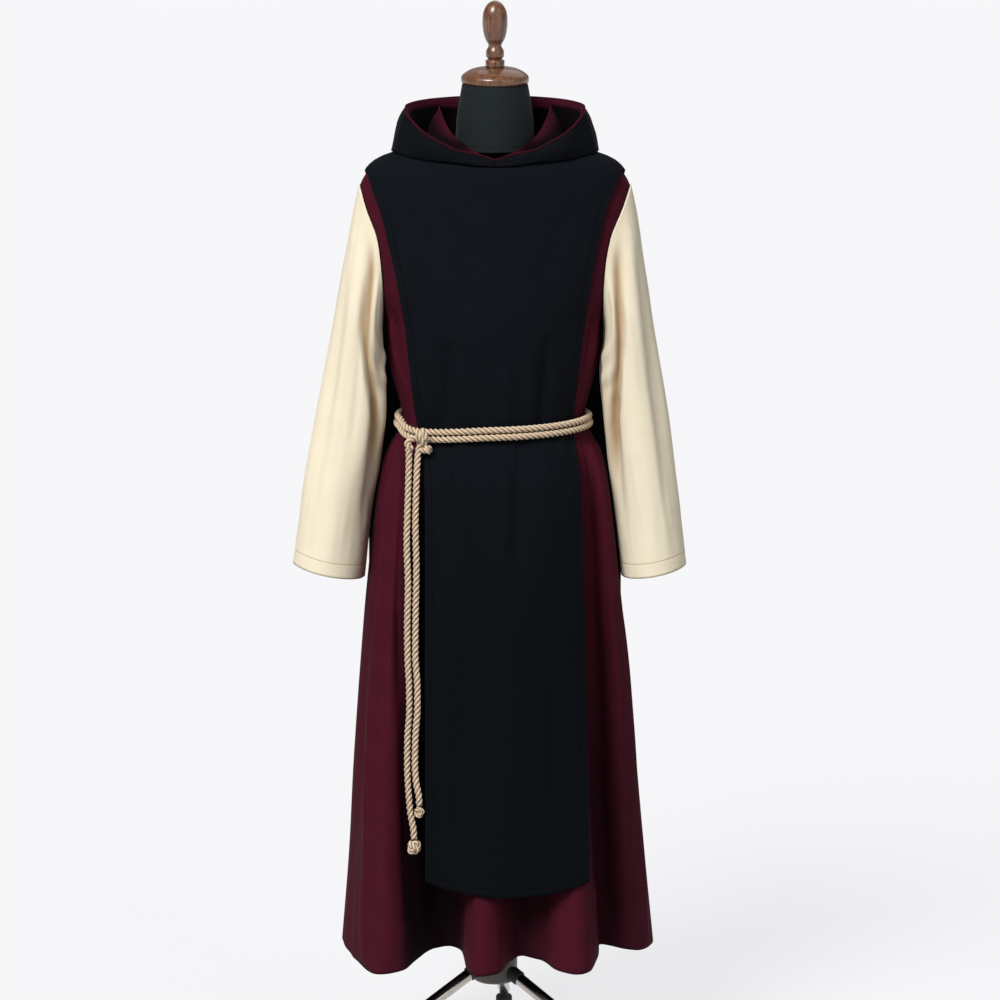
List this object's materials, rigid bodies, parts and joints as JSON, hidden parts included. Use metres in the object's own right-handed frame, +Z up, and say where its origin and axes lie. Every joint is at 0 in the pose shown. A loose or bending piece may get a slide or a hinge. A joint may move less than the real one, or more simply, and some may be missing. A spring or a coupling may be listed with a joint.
{
  "type": "monk habit on a limbless dress form",
  "caption": "Hooded monk habit with sleeveless tunic, wide sleeves, scapular and rope belt, worn by a limbless dress form on a tripod stand.",
  "frame": {"origin": "on the floor, in the middle of the rectangle that the part covers; the pole stands at x 0.0105, y -0.051", "axes": "+Z up, the front faces -Y, +X to the wearer's left"},
  "size_m": [0.695, 0.5676, 1.9079],
  "materials": {
    "burgundy_wool": "matt woven wool, deep burgundy",
    "black_wool": "matt woven wool, blue-black",
    "cream_wool": "soft matt wool, cream",
    "rope": "three-strand twisted cotton cord",
    "form_cloth": "black stretch cover",
    "walnut": "turned and varnished",
    "chrome_tube": "polished",
    "hub_metal": "satin grey-brown",
    "rubber_foot": "matt"
  },
  "bodies": {
    "root": {"tunic_front": "burgundy_wool", "tunic_back": "burgundy_wool", "tunic_collar": "burgundy_wool", "hood_lining_left": "burgundy_wool", "hood_lining_right": "burgundy_wool", "sleeve_left": "cream_wool", "sleeve_right": "cream_wool", "scapular_front": "black_wool", "scapular_back": "black_wool", "hood_left": "black_wool", "hood_right": "black_wool", "belt_turn_upper": "rope", "belt_turn_lower": "rope", "belt_knot": "rope", "belt_tuck": "rope", "belt_loop": "rope", "rope_end_long": "rope", "rope_end_short": "rope", "end_knot_long": "rope", "end_knot_short": "rope", "form_body": "form_cloth", "form_neck": "form_cloth", "neck_cap": "walnut", "finial": "walnut", "pole": "chrome_tube", "hub": "hub_metal", "leg_1": "chrome_tube", "leg_2": "chrome_tube", "leg_3": "chrome_tube", "foot_1": "rubber_foot", "foot_2": "rubber_foot", "foot_3": "rubber_foot"}
  },
  "joints": []
}
